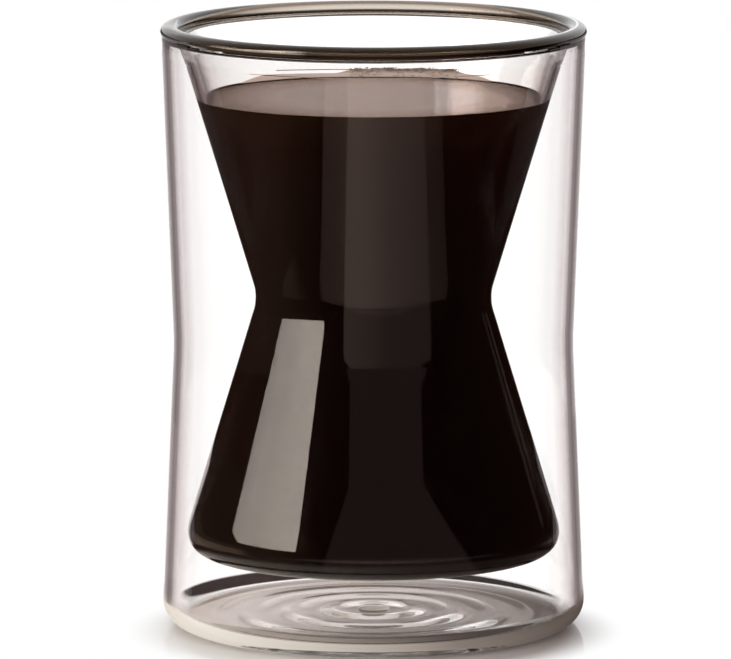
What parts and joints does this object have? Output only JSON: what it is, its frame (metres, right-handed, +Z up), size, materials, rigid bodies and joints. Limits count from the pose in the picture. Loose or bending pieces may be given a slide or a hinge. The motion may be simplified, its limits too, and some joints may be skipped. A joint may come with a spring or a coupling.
{
  "type": "double walled glass cup",
  "caption": "Straight tumbler with two fused glass walls: an hourglass inner vessel sealed inside a lightly waisted outer jacket, with a rounded rim and a rippled base.",
  "frame": {"origin": "centre of the foot, on the surface the cup stands on", "axes": "+Z up along the cup's axis of revolution, out of the mouth; +X and +Y lie in the table's plane and are alike"},
  "size_m": [0.085, 0.085, 0.121],
  "materials": {
    "outer_glass": "clear flame-worked borosilicate glass",
    "inner_glass": "clear blown borosilicate glass",
    "rim_glass": "fire-polished borosilicate glass, thick enough to look darker",
    "base_glass": "clear borosilicate glass with rings of ripples"
  },
  "bodies": {
    "root": {"outer_wall": "outer_glass", "inner_vessel": "inner_glass", "rim_bead": "rim_glass", "base_dish": "base_glass", "vent_seal": "base_glass"}
  },
  "joints": []
}
